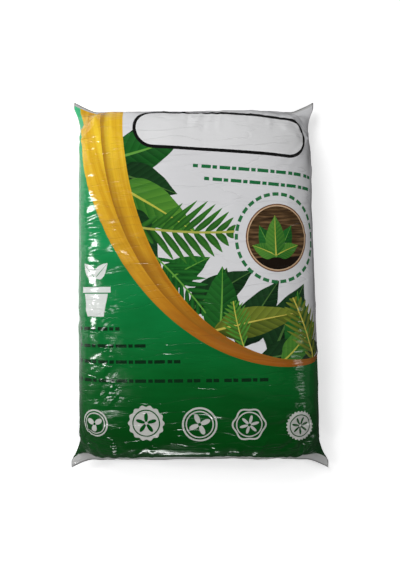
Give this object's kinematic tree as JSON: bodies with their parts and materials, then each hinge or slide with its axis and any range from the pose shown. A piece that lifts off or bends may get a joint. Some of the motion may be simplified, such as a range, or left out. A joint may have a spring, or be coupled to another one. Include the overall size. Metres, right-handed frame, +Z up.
{
  "type": "compost bag",
  "caption": "Sealed pillow bag of printed plastic film, filled with potting compost and welded across both ends, with corner ears, lying on its back.",
  "frame": {"origin": "centre of the bag's footprint, on the floor that its back lies on", "axes": "+X across the bag to the right of its printed front, +Y along it to its top edge, +Z up out of the printed front"},
  "size_m": [0.271, 0.3852, 0.07],
  "materials": {
    "printed_film": "glossy printed polyethylene film, green field with a pale upper panel and gold bands"
  },
  "bodies": {
    "root": {"compost_bag": "printed_film"}
  },
  "joints": []
}
